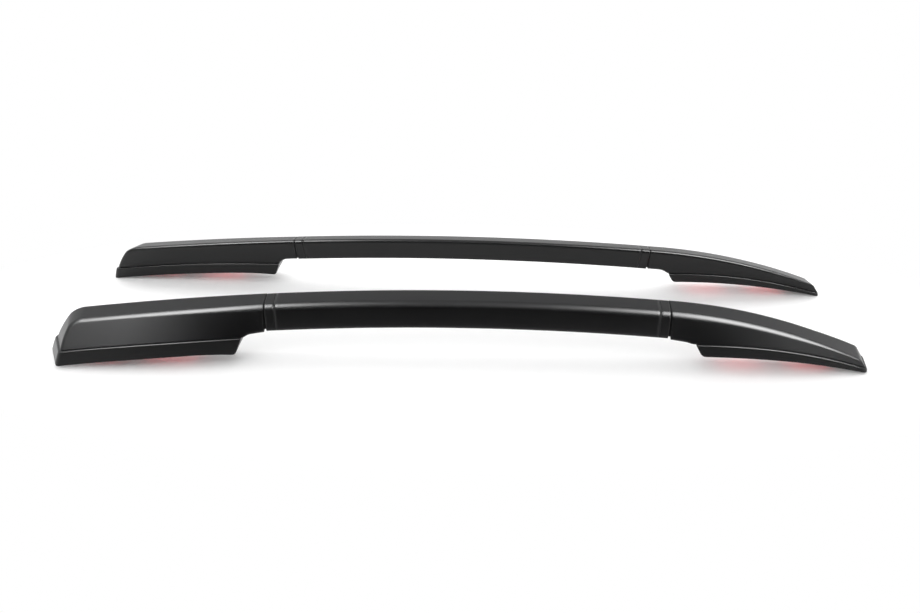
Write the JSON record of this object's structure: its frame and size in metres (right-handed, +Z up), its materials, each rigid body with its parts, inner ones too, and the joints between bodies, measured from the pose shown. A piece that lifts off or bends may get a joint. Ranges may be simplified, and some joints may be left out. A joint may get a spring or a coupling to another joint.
{
  "type": "roof side rail pair",
  "caption": "Mirrored pair of arched roof side rails, each a slanted tube between a blunt rear foot and a swept front foot, stuck to the roof by tape under the feet.",
  "frame": {"origin": "on the floor, midway between the two rails and midway along them", "axes": "+X along the rails towards the front of the vehicle, +Y towards the left-hand rail, +Z up"},
  "size_m": [1.2861, 0.3704, 0.1028],
  "materials": {
    "painted_tube": "satin black paint",
    "collar_plastic": "satin moulded",
    "foot_plastic": "satin moulded",
    "tape_foam": "closed-cell foam",
    "liner_film": "red release film",
    "screw_steel": "dark zinc"
  },
  "bodies": {
    "root": {"right_rail_tube": "painted_tube", "right_rear_joint_collar": "collar_plastic", "right_front_joint_collar": "collar_plastic", "right_rear_foot_cover": "foot_plastic", "right_front_foot_cover": "foot_plastic", "right_rear_foot_base": "foot_plastic", "right_front_foot_base": "foot_plastic", "right_rear_tape_pads": "tape_foam", "right_front_tape_pads": "tape_foam", "right_rear_tape_liners": "liner_film", "right_front_tape_liners": "liner_film", "right_rear_base_screws": "screw_steel", "right_front_base_screws": "screw_steel", "right_rear_joint_screws": "screw_steel", "right_front_joint_screws": "screw_steel", "left_rail_tube": "painted_tube", "left_rear_joint_collar": "collar_plastic", "left_front_joint_collar": "collar_plastic", "left_rear_foot_cover": "foot_plastic", "left_front_foot_cover": "foot_plastic", "left_rear_foot_base": "foot_plastic", "left_front_foot_base": "foot_plastic", "left_rear_tape_pads": "tape_foam", "left_front_tape_pads": "tape_foam", "left_rear_tape_liners": "liner_film", "left_front_tape_liners": "liner_film", "left_rear_base_screws": "screw_steel", "left_front_base_screws": "screw_steel", "left_rear_joint_screws": "screw_steel", "left_front_joint_screws": "screw_steel"}
  },
  "joints": []
}
